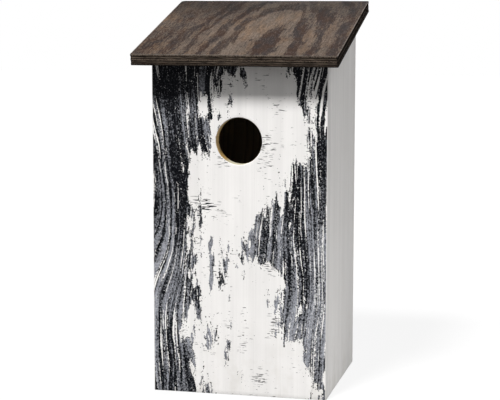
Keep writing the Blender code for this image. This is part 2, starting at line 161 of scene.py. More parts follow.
class NestBoxSizes(bpy.types.PropertyGroup):
    """Sizes of the fine shapes, which the frame doesn't have."""

    mesh_step: metres("Mesh step", "Distance between points along a board", 0.003, min=0.001)
    corner_round: metres("Corner round", "Radius of the boards' upright outer corners", 0.001)
    board_ease: metres("Board ease", "Radius of the other edges of the boards", 0.0002)
    board_unevenness: metres("Board unevenness", "How far a sawn board strays from flat", 0.00006)
    entrance_diameter: metres("Entrance", "Diameter of the round entrance", 0.032)
    entrance_ease: metres("Entrance ease", "Radius of the entrance's two rims", 0.0006)
    roof_ease: metres("Roof ease", "Radius of the roof's worn edges", 0.0003)
    roof_corner: metres("Roof corner", "Radius of the roof's four upright edges", 0.0009)
    worn_corner: metres("Worn corner", "Radius of the roof's corner at the back left", 0.0033)
    roof_unevenness: metres("Roof unevenness", "How far a roof's face strays from flat", 0.00012)
    ply_count: IntProperty(name="Plies", description="Layers of the plywood", default=5, min=3)
    ply_recess: metres("Ply recess", "How far the cross plies' edges stand back", 0.00014)
    glue_groove: metres("Glue groove", "Size of the groove between two plies", 0.0002)
    leaf_gauge: metres("Leaf gauge", "Thickness of a hinge leaf", 0.0008)
    leaf_corner: metres("Leaf corner", "Radius of a hinge leaf's two free corners", 0.0012)
    knuckle_gap: metres("Knuckle gap", "Room between two knuckles", 0.0003)
    pin_bore: metres("Pin bore", "Diameter inside a rolled knuckle", 0.0024)
    roll_end: radians("Roll end", "How far the sheet goes past the pin's far side", ROLL_END)
    screw_ease: metres("Screw ease", "How much of a sharp rim is taken off", 0.00018)
    screw_slot: fraction("Screw slot", "Width of a driver slot, as a share of the head", 0.2)
    screw_slot_depth: fraction("Slot depth", "Its depth, as a share of the head's cone", 0.6)
    socket_gap: metres("Socket gap", "Room round a fastener in its hole", 0.0001)
    drain_diameter: metres("Drain hole", "Diameter of the floor's drain holes", 0.005)
    drain_inset: metres("Drain inset", "From the floor's edges to a drain hole", 0.015)
    plate_ease: metres("Plate ease", "Radius of the hanger plate's edges", 0.0002)
    plate_corner: metres("Plate corner", "Corner radius of the hanger plate", 0.004)
    keyhole_diameter: metres("Keyhole", "Diameter of the keyhole's round part", 0.009)
    keyhole_slot: metres("Keyhole slot", "Width of the keyhole's slot", 0.0046)
    keyhole_rise: metres("Keyhole rise", "Between the middles of its two round ends", 0.009)
    recess_depth: metres("Recess depth", "Depth of the recess behind the keyhole", 0.005)
    recess_margin: metres("Recess margin", "Room round the keyhole in the recess", 0.0012)


class NestBoxColours(bpy.types.PropertyGroup):
    """Colours of the finishes."""

    paint: swatch("Paint", "White paint on the boards", 0.868, 0.848, 0.828)
    grime: swatch("Grime", "Thin dirt near the ground", 0.62, 0.59, 0.53)
    ink: swatch("Ink", "Darkest parts of the print", 0.0012, 0.0016, 0.0028)
    ink_worn: swatch("Worn ink", "Palest parts of the printed wood", 0.405, 0.415, 0.455)
    early_wood: swatch("Early wood", "Pale rings of the aged wood inside", 0.34, 0.25, 0.155)
    late_wood: swatch("Late wood", "Dark rings of the aged wood inside", 0.20, 0.125, 0.066)
    cut_early_wood: swatch("Cut early wood", "Pale rings in the bore", 0.96, 0.74, 0.42)
    cut_late_wood: swatch("Cut late wood", "Dark rings in the bore", 0.80, 0.50, 0.18)
    # The bore's next two colours are painted light: a deeper orange on its lower sides is painted shade, and a
    # pale strip along its middle is a painted highlight where its lower part is lit.
    cut_painted_shade: swatch("Resinous wood", "Lower half of the bore", 0.46, 0.29, 0.085)
    cut_painted_highlight: swatch("Bleached wood", "Strip along the bore's middle", 0.62, 0.585, 0.43)
    stain_dark: swatch("Dark stain", "Bands of the roof's veneer", 0.0165, 0.0112, 0.0105)
    stain_pale: swatch("Pale stain", "Bands that took less stain", 0.170, 0.131, 0.101)
    stain_brown: swatch("Brown stain", "Warmer patches of the dark bands", 0.0235, 0.0105, 0.0062)
    stain_rusty: swatch("Rusty stain", "Warmer patches of the pale bands", 0.186, 0.126, 0.083)
    stain_worn: swatch("Worn stain", "Rubbed edges of the roof", 0.23, 0.20, 0.175)
    # Deep stain also shows on the lowest plies of the roof's edge, where it is painted shade.
    stain_deep: swatch("Deep stain", "Glue lines, end grain and knots", 0.006, 0.005, 0.0045)
    zinc: swatch("Zinc", "Zinc plate on the fittings", 0.42, 0.42, 0.415)
    steel: swatch("Steel", "Plain steel of the nails", 0.36, 0.355, 0.35)
    rust: swatch("Rust", "First rust on the nails", 0.22, 0.085, 0.03)


# Node trees

ORIGIN = (0.0, 0.0, 0.0)
WHITE = (1, 1, 1, 1)


def feed(sockets, values):
    """Link sockets to Values, or set them to plain numbers, vectors or colours."""
    for key, value in values.items():
        if isinstance(value, Value):
            sockets[key].id_data.links.new(value.socket, sockets[key])
        else:
            sockets[key].default_value = value


def configure(target, settings):
    for key, value in settings.items():
        setattr(target, key, value)


def add_node(tree, kind, inputs, **settings):
    made = tree.nodes.new(kind)
    configure(made, settings)
    feed(made.inputs, inputs)
    return made


class Value:
    """A node's output. What is done with it adds nodes to its tree. Lengths are in mm."""

    def __init__(self, socket):
        self.socket = socket

    def add(self, kind, inputs, output=0, **settings):
        """Add a node to the tree, and give one of its outputs."""
        return Value(add_node(self.socket.id_data, kind, inputs, **settings).outputs[output])

    def compute(self, operation, other=0.0, **settings):
        return self.add("ShaderNodeMath", {0: self, 1: other}, operation=operation, **settings)

    __add__ = partialmethod(compute, "ADD")
    __sub__ = partialmethod(compute, "SUBTRACT")
    __mul__ = partialmethod(compute, "MULTIPLY")
    __truediv__ = partialmethod(compute, "DIVIDE")
    __abs__ = partialmethod(compute, "ABSOLUTE")
    at_least = partialmethod(compute, "MAXIMUM")
    at_most = partialmethod(compute, "MINIMUM")
    clamped = partialmethod(compute, "ADD", use_clamp=True)

    def __rsub__(self, other):
        return self.add("ShaderNodeMath", {0: other, 1: self}, operation="SUBTRACT")

    def vector(self, operation, *others):
        inputs = dict(enumerate((self, *others)))
        return self.add("ShaderNodeVectorMath", inputs, operation=operation)

    def split(self):
        made = add_node(self.socket.id_data, "ShaderNodeSeparateXYZ", {0: self})
        return [Value(socket) for socket in made.outputs]

    def join(self, second, third):
        return self.add("ShaderNodeCombineXYZ", {0: self, 1: second, 2: third})

    def noise(self, size, detail=2.0, roughness=0.5, distortion=0.0, seed=0.0):
        """Noise at this place whose blotches have that size along X, Y and Z."""
        scale = [1 / extent for extent in size]
        scaled = self.vector("MULTIPLY_ADD", scale, (seed, seed / 2, -seed))
        inputs = {"Vector": scaled, "Scale": 1.0, "Detail": detail, "Roughness": roughness}
        inputs["Distortion"] = distortion
        return self.add("ShaderNodeTexNoise", inputs, noise_dimensions="3D")

    def step(self, low, high):
        """0 below low and 1 above high, with a soft change between them."""
        inputs = {"Value": self, "From Min": low, "From Max": high}
        return self.add("ShaderNodeMapRange", inputs, interpolation_type="SMOOTHSTEP")

    def spread(self, out_low, out_high, low=0.3, high=0.7):
        """Map the range from low to high to another, without a limit."""
        inputs = {"Value": self, "From Min": low, "From Max": high}
        inputs.update({"To Min": out_low, "To Max": out_high})
        return self.add("ShaderNodeMapRange", inputs, clamp=False)

    def between(self, first, second):
        """The first number where this is 0, and the second where it is 1."""
        return self.add("ShaderNodeMix", {0: self, 2: first, 3: second})

    def blend(self, first, second):
        """The first colour where this is 0, and the second where it is 1."""
        return self.add("ShaderNodeMix", {0: self, 6: first, 7: second}, 2, data_type="RGBA")

    def darken(self, colour):
        """A colour times this number."""
        inputs = {0: 1.0, 6: colour, 7: self.join(self, self)}
        kind = {"data_type": "RGBA", "blend_type": "MULTIPLY"}
        return self.add("ShaderNodeMix", inputs, 2, **kind)

    def ramp(self, stops):
        """A curve through (position, height) stops, as a grey value."""
        made = add_node(self.socket.id_data, "ShaderNodeValToRGB", {0: self})
        elements = made.color_ramp.elements
        while len(elements) < len(stops):
            elements.new(1.0)
        for element, (position, height) in zip(elements, stops):
            element.position = position
            element.color = (height, height, height, 1)
        return Value(made.outputs[0])

    def effect(self, name, **inputs):
        """A shared effect at this place, with its own values. It gives the outputs by name."""
        tree = bpy.data.node_groups[name]
        inputs = {"Place": self, **inputs}
        made = add_node(self.socket.id_data, "ShaderNodeGroup", inputs, node_tree=tree)
        return {socket.name: Value(socket) for socket in made.outputs}


def start_effect(name, outputs, **inputs):
    """A new node group. It gives its inputs in order, and the sockets of its outputs."""
    tree = bpy.data.node_groups.new(name, "ShaderNodeTree")
    inputs = {"Place": ORIGIN, **inputs}
    for label, value in inputs.items():
        kind = "NodeSocketFloat" if isinstance(value, float) else "NodeSocketVector"
        socket = tree.interface.new_socket(label, in_out="INPUT", socket_type=kind)
        socket.default_value = value
    for label in outputs:
        tree.interface.new_socket(label, in_out="OUTPUT", socket_type="NodeSocketFloat")
    given = tree.nodes.new("NodeGroupInput").outputs
    result = tree.nodes.new("NodeGroupOutput").inputs
    return [Value(given[label]) for label in inputs], result


def make_wood_effect():
    """Growth rings round a far axis, and fibres along Z."""
    given, result = start_effect("Wood", ("Rings", "Fibres"), Heart=ORIGIN, Width=3.0)
    place, heart, ring_width = given
    x, y, _ = place.vector("SUBTRACT", heart).split()
    radius = (x * x + y * y).compute("SQRT") + place.noise((40, 40, 160), seed=3.1) * 30.0
    rings = (radius / ring_width).compute("FRACT")
    rings = rings.ramp(((0.0, 0.1), (0.5, 0.25), (0.82, 0.8), (0.92, 0.7), (1.0, 0.1)))
    feed(result, {"Rings": rings, "Fibres": place.noise((0.5, 0.5, 22), 4, 0.65, seed=8.4)})


def make_paint_effect():
    """A thin coat over upright grain: its shade, its height and its roughness."""
    (place,), result = start_effect("Paint", ("Shade", "Height", "Roughness"))
    brush = place.noise((1.1, 1.1, 90), 3, 0.6, seed=1.7)
    broad = place.noise((7, 7, 140), seed=5.2)
    cloud = place.noise((22, 22, 30), 3, 0.55, seed=9.9)
    pits = place.noise((0.7, 0.7, 1.6), 2, 0.6, seed=4.4)
    shade = (brush - 0.5) * 0.13 + (broad - 0.5) * 0.20 + (cloud - 0.5) * 0.12 + 0.99
    feed(result, {"Shade": shade, "Height": brush * 0.75 + pits * 0.25})
    feed(result, {"Roughness": cloud.spread(0.50, 0.68)})


def make_wear_effect():
    """1 along the edges of a box between two corners, fading over a reach, and broken up."""
    corners = {"Low": ORIGIN, "High": (1.0, 1.0, 1.0)}
    given, result = start_effect("Edge wear", ("Wear",), **corners, Reach=1.0)
    place, low, high, reach = given
    above = place.vector("SUBTRACT", low).vector("ABSOLUTE")
    below = high.vector("SUBTRACT", place).vector("ABSOLUTE")
    a, b, c = above.vector("MINIMUM", below).split()
    second = a.at_most(b).at_least(a.at_least(b).at_most(c))
    reach *= place.noise((2.2, 2.2, 2.2), 4, 0.7, seed=6.3).spread(0.2, 1.8, 0.35, 0.65)
    feed(result, {"Wear": 1.0 - (second / reach).step(0.4, 1.0)})


def make_print_effect():
    """Torn pale bark over dark streaked wood. Cover is where ink lies, and Tone how pale it is."""
    panel = {"Half": 60.0, "Height": 230.0}
    (place, half, height), result = start_effect("Bark print", ("Cover", "Tone"), **panel)
    x, _, z = place.split()

    along = z / height
    across = x + (place.noise((60, 60, 150), 1, seed=2.2) - 0.5) * 60.0
    across += (place.noise((12, 12, 60), seed=7.5) - 0.5) * 7.0
    flow = across.join(0.0, z)
    zones = place.noise((24, 24, 48), seed=14.6) + along.step(0.25, 0.75) * -0.24 + 0.16
    bands = flow.noise((3.9, 1, 500), 1, seed=1.3)
    lines = flow.noise((1.9, 1, 260), 1, seed=3.8)
    scratch = flow.noise((0.9, 1, 9), 3, 0.65, seed=16.4)
    speck = place.noise((0.9, 1, 1.0), 2, 0.7, seed=5.9)
    tone = bands.step(0.46, 0.55) * 0.46 + lines.step(0.46, 0.53) * 0.44 - 0.15
    # Near the top the tone drops by 0.35: partly the print's own darker wood, partly painted shade under the roof.
    tone += (zones - 0.5) * 2.0 + along.step(0.84, 0.96) * -0.35 + (scratch - 0.5)
    tone = (tone.clamped() * 0.72 + 0.08 + (speck - 0.5) * 1.9).clamped()

    slivers = flow.noise((1.3, 1, 40), seed=9.1) + (speck - 0.5) * 0.30 + (zones - 0.5) * 0.10
    slivers += x.step(34.0, 50.0) * along.step(0.45, 0.65) * 0.07
    salt = place.noise((1.3, 1, 1.5), seed=34.5)
    worn = slivers.step(0.622, 0.640).at_least(salt.step(0.71, 0.73))

    centre = (along * 5.6 + 2.2).compute("SINE") * 11.0 + 8.0
    breadth = (along * 9.5 + 0.6).compute("SINE") * 0.14 + 0.50
    field = breadth - abs(x - centre) / half
    for size, amount, seed in (
        ((24, 24, 44), 1.5, 4.7),
        ((6.5, 6, 36), 1.15, 8.8),
        ((2.4, 2, 8), 0.42, 0.9),
        ((1.1, 1, 0.8), 0.20, 3.3),
    ):
        field += (place.noise(size, 3, 0.55, seed=seed) - 0.5) * amount
    bark = field.step(0.0, 0.03)

    patches = place.noise((15, 15, 20), seed=7.1)
    dashes = place.noise((5.5, 2, 0.6), distortion=0.3, seed=2.9) + (patches - 0.66) * 0.75
    near_edge = 1.0 - field.step(0.0, 0.24)
    flecks = place.noise((1.5, 1, 1.3), 2, 0.6, seed=11.3) + near_edge * 0.19
    marks = dashes.step(0.60, 0.63).at_least(flecks.step(0.75, 0.78))
    feed(result, {"Cover": bark.between(1.0 - worn, marks)})
    feed(result, {"Tone": bark.between(tone, speck * 0.3)})


# Finishes

PAINT_RELIEF = 0.00006
WOOD_RELIEF = 0.00012
EDGE_RELIEF = 0.0002
ZINC_RELIEF = 0.00003
RUST_RELIEF = 0.00004
RING_WIDTH = 3.4
VENEER_BAND_SHARES = (
    (0.0, 0.16), (0.096, 0.08), (0.112, 0.85), (0.32, 0.88), (0.345, 0.12),
    (0.42, 0.18), (0.44, 0.80), (0.49, 0.75), (0.51, 0.08), (0.57, 0.15),
    (0.59, 0.72), (0.70, 0.66), (0.72, 0.08), (0.78, 0.15), (0.80, 0.60),
    (0.86, 0.50), (0.88, 0.10), (0.96, 0.15), (1.0, 0.40),
)
VENEER_RIGHT_SHARES = (
    (0.0, 0.0), (0.17, 0.125), (0.27, 0.345), (0.40, 0.42), (0.52, 0.49),
    (0.59, 0.51), (0.66, 0.57), (0.84, 0.70), (1.0, 0.78),
)
VENEER_RIGHT_REACH = 52.0
VENEER_REACH = 80.0
PIN_KNOTS = ((4.9, 34.6), (23.4, 60.3), (45.7, 116.5))


def start_material(name, turn=UPRIGHT, origin=Vector()):
    """Make a material. It gives the shader's inputs, and the place in a turned frame."""
    material = bpy.data.materials.new(name)
    material.use_nodes = True
    nodes = material.node_tree.nodes
    place = Value(nodes.new("ShaderNodeTexCoord").outputs["Object"])
    inputs = {"Vector": place, "Scale": (1 / MM, 1 / MM, 1 / MM)}
    inputs.update({"Location": -origin / MM, "Rotation": turn.inverted().to_euler()})
    return nodes["Principled BSDF"].inputs, place.add("ShaderNodeMapping", inputs)


def finish_surface(shader, colour, roughness, height, relief, specular=0.5, metallic=0.0):
    """Feed a shader. relief is the real height of the bumps."""
    bump = height.add("ShaderNodeBump", {"Height": height, "Strength": 1.0, "Distance": relief})
    feed(shader, {"Base Color": colour, "Roughness": roughness, "Normal": bump})
    feed(shader, {"Specular IOR Level": specular, "Metallic": metallic})


def painted(place, colours):
    """The white coat: its colour, roughness and height, with grime near the ground."""
    coat = place.effect("Paint")
    _, _, z = place.split()
    cloud = place.noise((14, 14, 18), 4, 0.65, seed=12.7)
    dirt = (1.0 - z.step(0.0, 60.0)) * cloud.step(0.42, 0.72) * 0.35
    colour = coat["Shade"].darken(dirt.blend(colours.paint, colours.grime))
    return colour, coat["Roughness"], coat["Height"]


def white_paint(colours):
    """Paint of the sides and back. The front board's own edge is a little darker."""
    shader, place = start_material("white_board_paint")
    colour, roughness, height = painted(place, colours)
    _, y, _ = place.split()
    seam = (FRONT_Y + BOARD) / MM
    colour = y.step(seam - 0.05, seam + 0.05).between(0.93, 1.0).darken(colour)
    finish_surface(shader, colour, roughness, height, PAINT_RELIEF, 0.15)


def printed_paint(colours):
    """The front's white coat under the bark print."""
    shader, place = start_material("printed_board_paint")
    coat, roughness, height = painted(place, colours)
    ink = place.effect("Bark print", Half=SIDE_X / MM, Height=FRONT_HIGH.z / MM)
    shade = ink["Tone"].ramp(((0.0, 0.0), (0.25, 0.03), (0.55, 0.50), (1.0, 1.0)))
    cover = ink["Cover"]
    colour = cover.blend(coat, shade.blend(colours.ink, colours.ink_worn))
    height += cover * 0.2
    finish_surface(shader, colour, cover.between(roughness, 0.5), height, PAINT_RELIEF, 0.04)


def raw_wood(name, early, late, turn=UPRIGHT, heart=(35.0, 95.0, 0.0), bore=()):
    """Unpainted wood with growth rings, fibres and saw marks.

    turn says how the board lies, and heart where the middle of its tree is in that place. bore
    holds the colours of the entrance's lower half and of the strip along its middle.
    """
    shader, place = start_material(name, turn)
    wood = place.effect("Wood", Heart=heart, Width=RING_WIDTH)
    fibres = wood["Fibres"]
    colour = wood["Rings"].blend(early, late)
    if bore:
        bore_painted_shade, bore_painted_highlight = bore
        x, _, z = place.split()
        # Painted shade and highlight in the bore: its lower sides turn a deeper orange, as painted shade, and the
        # strip along its middle turns pale, as a painted highlight.
        low = (ENTRANCE_Z / MM - z).step(4.0, 9.5) * 0.9
        colour = low.blend(colour, bore_painted_shade)
        colour = (1.0 - abs(x).step(6.5, 11.0)).blend(colour, bore_painted_highlight)
    colour = fibres.spread(0.82, 1.1).darken(colour)
    height = fibres + place.noise((30, 30, 0.9), 2, 0.6, seed=13.1) * 0.5
    finish_surface(shader, colour, fibres.spread(0.62, 0.8), height, WOOD_RELIEF)


def stained_veneer(colours):
    """Rotary-cut veneer: nested pointed bands that rise from the front, under a brown stain."""
    shader, place = start_material("stained_veneer", PITCHED, ROOF_ORIGIN)
    x, y, _ = place.split()
    across = x - (y * -0.01 + 18.5)
    sway = abs(across) * 0.45 + 5.0
    across += (place.noise((34, 60, 60), seed=21.3) - 0.5) * sway
    across += (place.noise((7, 20, 20), 3, 0.6, seed=15.2) - 0.5) * 6.0
    right = (across / VENEER_RIGHT_REACH).ramp(VENEER_RIGHT_SHARES)
    left = (across * -1.0).at_least(0.0)
    left += left * left * 0.00007 * y
    across = right * VENEER_REACH + left
    rise = (y * 0.19 - 5.0).at_least(y * 0.46 - 23.9)
    ring = (across * across + rise * rise).compute("SQRT") / VENEER_REACH
    ring += (place.noise((1.1, 9, 9), 3, 0.7, seed=26.2) - 0.5) * 0.09
    ring += (place.noise((3.5, 40, 40), 3, 0.6, seed=27.4) - 0.5) * 0.10
    band = ring.ramp(VENEER_BAND_SHARES)

    cloud = place.noise((10.5, 48, 48), 4, 0.65, seed=17.7)
    fibres = place.noise((1.0, 20, 20), 3, 0.6, seed=18.4)
    pores = place.noise((0.8, 2.4, 2.4), 2, 0.6, seed=19.8)
    pale = band * 0.62 - 0.02 + (cloud - 0.5) * 1.1 + (fibres - 0.5) * 1.2
    pale = (pale + (pores - 0.5) * 1.4).clamped()
    rusty = place.noise((8, 26, 26), 3, 0.6, seed=28.9).step(0.42, 0.68)
    brown = place.noise((7, 18, 18), 3, 0.6, seed=29.3).step(0.40, 0.62)
    dark_stain = brown.blend(colours.stain_dark, colours.stain_brown)
    colour = pale.blend(dark_stain, rusty.blend(colours.stain_pale, colours.stain_rusty))
    # Painted shade: the veneer darkens towards the back of the roof, to 0.44 of its colour.
    colour = y.step(70.0, 134.0).between(1.0, 0.44).darken(colour)
    colour = pin_knots(x, y).blend(colour, colours.stain_deep)
    colour = roof_wear(place, 0.65).blend(colour, colours.stain_worn)
    height = band * 0.5 + fibres * 0.6
    finish_surface(shader, colour, fibres.spread(0.55, 0.75), height, WOOD_RELIEF, 0.02)


def roof_wear(place, strength):
    """Rubbed edges of the roof, least at the back and below."""
    width, depth, top = ROOF_SIZE / MM
    corners = {"Low": (-width / 2, 0, 0), "High": (width / 2, depth, top)}
    wear = place.effect("Edge wear", **corners, Reach=0.7)["Wear"]
    _, y, z = place.split()
    wear *= y.step(depth - 4, depth - 1.5).between(1.0, 0.1)
    return wear * z.step(top * 0.5, top * 0.9).between(strength / 5, strength)


def pin_knots(x, y):
    """Small dark knots with a halo."""
    spots = None
    for knot_x, knot_y in PIN_KNOTS:
        off_x = x - knot_x
        off_y = (y - knot_y) * 0.6
        spot = 1.0 - (off_x * off_x + off_y * off_y).step(0.2, 2.6)
        spots = spot if spots is None else spots.at_least(spot)
    return spots * 0.75


def plywood_edge(colours, plies):
    """The roof's edges: plies that take turns to show long grain and end grain, and glue lines."""
    shader, place = start_material("plywood_edge", PITCHED, ROOF_ORIGIN)
    x, _, z = place.split()
    wobble = place.noise((14, 14, 2), 3, 0.6, seed=22.6) - 0.5
    count = (z / (ROOF_SIZE.z / MM) + wobble * 0.05) * float(plies)
    phase = count.compute("FRACT")
    between_lines = phase.at_most(1.0 - phase).step(0.08, 0.24)
    cross_ply = count.compute("FLOOR").compute("PINGPONG", 1.0)
    side = ROOF_SIZE.x / MM / 2
    at_side = abs(x).step(side - 1.2, side - 1.0)
    long_grain = place.noise((8, 8, 0.45), 3, 0.65, seed=23.9)
    end_grain = place.noise((0.8, 0.8, 0.8), 3, 0.7, seed=24.1)
    grain = abs(cross_ply - at_side).between(end_grain, long_grain)
    stain = place.noise((8, 8, 3), 3, 0.6, seed=25.5)
    pale = ((grain - 0.5) * 3.6 + 0.52 + (stain - 0.5) * 1.2).clamped()
    # The side edges are cut to 0.24, and the lowest plies darken towards the deep stain as painted shade along the
    # roof's underside.
    pale *= at_side.between(1.0, 0.24) * z.step(0.2, 3.5).between(0.3, 1.1)
    colour = (pale * between_lines).blend(colours.stain_deep, colours.stain_pale)
    colour = roof_wear(place, 0.2).blend(colour, colours.stain_worn)
    height = grain + between_lines
    finish_surface(shader, colour, grain.spread(0.7, 0.85), height, EDGE_RELIEF, 0.0)


def zinc_plate(colours):
    """Zinc with fine spangles and scratches."""
    shader, place = start_material("zinc_plate")
    cells = place.add("ShaderNodeTexVoronoi", {"Vector": place, "Scale": 0.7}, "Color")
    spangle, _, _ = cells.split()
    scratch = place.noise((9, 9, 0.25), 3, 0.7, 1.5, seed=31.2)
    cloud = place.noise((3, 3, 3), 3, 0.6, seed=32.7)
    shade = (spangle - 0.5) * 0.14 + (cloud - 0.5) * 0.3 + 0.97
    colour = shade.darken(colours.zinc)
    roughness = scratch.spread(0.30, 0.52)
    finish_surface(shader, colour, roughness, scratch, ZINC_RELIEF, metallic=1.0)


def nail_steel(colours):
    """Plain steel with spots of rust."""
    shader, place = start_material("nail_steel")
    spots = place.noise((0.8, 0.8, 0.8), 4, 0.65, seed=41.9)
    rust = spots.step(0.50, 0.66)
    colour = rust.blend(colours.steel, colours.rust)
    roughness = rust.spread(0.42, 0.8, 0.0, 1.0)
    finish_surface(shader, colour, roughness, spots, RUST_RELIEF, metallic=1.0 - rust * 0.8)


def make_finishes():
    scene = bpy.context.scene
    colours = scene.nest_box_colours
    make_wood_effect()
    make_paint_effect()
    make_wear_effect()
    make_print_effect()
    printed_paint(colours)
    white_paint(colours)
    aged = (colours.early_wood, colours.late_wood)
    raw_wood("aged_bare_wood", *aged)
    raw_wood("lying_bare_wood", *aged, turn=LYING, heart=(16.0, 7.0, 0.0))
    # The bore's painted shade and painted highlight.
    bore = (colours.cut_painted_shade, colours.cut_painted_highlight)
    raw_wood("fresh_cut_wood", colours.cut_early_wood, colours.cut_late_wood, bore=bore)
    stained_veneer(colours)
    plywood_edge(colours, scene.nest_box_sizes.ply_count)
    zinc_plate(colours)
    nail_steel(colours)


def finish(name):
    """A material by its name. The first call makes them all."""
    if name not in bpy.data.materials:
        make_finishes()
    return bpy.data.materials[name]


# Shapes

BOARD_LOOKS = ("white_board_paint", "aged_bare_wood")
PLATED = (["zinc_plate"], "zinc_steel")
BOARD_WAVE = 0.02
ROOF_WAVE = 0.009
ENTRANCE_CHIPS = ((189, 0.0098, 0.0034), (216, 0.0094, 0.0014), (171, 0.0004, 0.0008))


def place_data(name, data):
    """Put an object in the scene."""
    obj = bpy.data.objects.new(name, data)
    bpy.context.scene.collection.objects.link(obj)
    return obj


def place_mesh(name, bm):
    """Put a shape in the scene. The shape is used up."""
    mesh = bpy.data.meshes.new(name)
    bm.to_mesh(mesh)
    bm.free()
    return place_data(name, mesh)


def face_outwards(bm):
    bmesh.ops.recalc_face_normals(bm, faces=bm.faces)
    if bm.calc_volume(signed=True) < 0:
        bmesh.ops.reverse_faces(bm, faces=bm.faces)


def finish_piece(name, bm, looks, slot, body, node, choose=None):
    """Make a piece that stands for a CAD node and rides on its body.

    looks names its materials, and choose gives a face's one from its middle and its normal.
    """
    face_outwards(bm)
    if choose:
        bm.normal_update()
        for face in bm.faces:
            face.material_index = choose(face.calc_center_median(), face.normal)
    obj = place_mesh(name, bm)
    obj.data.shade_smooth()
    obj.data.set_sharp_from_angle(angle=SMOOTH_BELOW)
    for look in looks:
        obj.data.materials.append(finish(look))
    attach(obj, body)
    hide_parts(node)


def carve(bm, cutter):
    """Cut one closed shape out of another. Both are used up, and the result is returned."""
    face_outwards(bm)
    face_outwards(cutter)
    shape, tool = place_mesh("carved", bm), place_mesh("carver", cutter)
    modifier = shape.modifiers.new("carve", "BOOLEAN")
    configure(modifier, {"operation": "DIFFERENCE", "object": tool})
    result = bmesh.new()
    evaluated = shape.evaluated_get(bpy.context.evaluated_depsgraph_get())
    result.from_mesh(evaluated.to_mesh())
    evaluated.to_mesh_clear()
    if not result.faces:
        raise RuntimeError("a cut left nothing of the shape")
    for obj in (shape, tool):
        mesh = obj.data
        bpy.data.objects.remove(obj)
        bpy.data.meshes.remove(mesh)
    return result


def bevel(bm, edges, width, steps):
    size = {"offset": width, "offset_type": "OFFSET", "segments": steps}
    bmesh.ops.bevel(bm, geom=edges, **size, affect="EDGES", profile=0.5, material=-1)


def sharp_edges(bm, angle=math.radians(30)):
    return [edge for edge in bm.edges if edge.is_manifold and edge.calc_face_angle() > angle]


def edges_along(bm, axis):
    """Edges that run along an axis."""
    runs = [(edge, edge.verts[1].co - edge.verts[0].co) for edge in bm.edges]
    return [edge for edge, run in runs if abs(run[axis]) > run.length - SAME_PLACE]


def block(low, high, bm=None):
    """A box between two corners, in a shape or as a new one."""
    bm = bm or bmesh.new()
    size = high - low
    place = Matrix.Translation((low + high) / 2) @ Matrix.Diagonal((*size, 1))
    bmesh.ops.create_cube(bm, size=1, matrix=place)
    return bm


def slice_at(bm, distance, normal):
    """Cut a shape's faces in two along a plane."""
    geometry = bm.verts[:] + bm.edges[:] + bm.faces[:]
    plane = {"plane_co": normal * distance, "plane_no": normal}
    bmesh.ops.bisect_plane(bm, geom=geometry, dist=SAME_PLACE, **plane)


def divide(bm, axes, low, high, step):
    """Cut a shape into even slices along some axes."""
    for axis in axes:
        normal = Vector([float(axis == number) for number in range(3)])
        stretch = high[axis] - low[axis]
        count = max(1, round(stretch / step))
        for index in range(1, count):
            slice_at(bm, low[axis] + stretch * index / count, normal)


def extrude(bm, outline, move):
    """Make a solid from an outline of points."""
    face = bm.faces.new([bm.verts.new(point) for point in outline])
    grown = bmesh.ops.extrude_face_region(bm, geom=[face])["geom"]
    moved = [item for item in grown if isinstance(item, bmesh.types.BMVert)]
    bmesh.ops.translate(bm, verts=moved, vec=move)


def turned(profile, steps, place=UPRIGHT, bm=None):
    """Spin (radius, height) pairs, from axis to axis, in a shape or into a new one."""
    bm = bm or bmesh.new()
    before = set(bm.verts)
    verts = [bm.verts.new((radius, 0, height)) for radius, height in profile]
    edges = [bm.edges.new(ends) for ends in zip(verts, verts[1:])]
    axis = {"cent": (0, 0, 0), "axis": UP, "angle": 2 * math.pi}
    bmesh.ops.spin(bm, geom=verts + edges, **axis, steps=steps, use_merge=True)
    made = [vert for vert in bm.verts if vert not in before]
    bmesh.ops.remove_doubles(bm, verts=made, dist=SAME_PLACE / 10)
    made = [vert for vert in bm.verts if vert not in before]
    bmesh.ops.transform(bm, matrix=place, verts=made)
    return bm


def arc(centre, radius, start, end, steps):
    """Points of an arc between two angles in degrees."""
    angles = [math.radians(start + (end - start) * index / steps) for index in range(steps + 1)]
    return [(centre[0] + radius * math.cos(a), centre[1] + radius * math.sin(a)) for a in angles]


def roughen(bm, verts, amount, size, seed):
    """Push points inwards by up to an amount, as sawn and worn wood is."""
    bm.normal_update()
    for vert in verts:
        wave = noise.noise(vert.co / size + Vector((seed, -seed, seed / 2)))
        vert.co += vert.normal * amount * (wave - 1) / 2


def wall_block(low, high, outer, sizes, seed):
    """A sawn board that stands on the ground, with a sloped top and eased edges.

    outer is the Y of the face whose upright corners are rounder, or None.
    """
    top = min(wall_top(low.y), wall_top(high.y))
    low, high = Vector((low.x, low.y, 0)), Vector((high.x, high.y, top))
    bm = block(low, high)
    for vert in bm.verts:
        if vert.co.z > top - SAME_PLACE:
            vert.co.z = wall_top(vert.co.y)
    uprights = edges_along(bm, 2)
    if outer is not None:
        corners = [edge for edge in uprights if abs(edge.verts[0].co.y - outer) < SAME_PLACE]
        bevel(bm, corners, sizes.corner_round, 4)
    bevel(bm, sharp_edges(bm), sizes.board_ease, 2)
    divide(bm, (2, 0, 1), low, high, sizes.mesh_step)
    roughen(bm, bm.verts, sizes.board_unevenness, BOARD_WAVE, seed)
    return bm


def rock(bm, place, radius, seed):
    """A lumpy ball, which breaks a chip out of an edge."""
    made = bmesh.ops.create_icosphere(bm, subdivisions=3, radius=radius)["verts"]
    roughen(bm, made, radius * 0.6, radius * 0.8, 20.0 + seed)
    bmesh.ops.translate(bm, verts=made, vec=place)


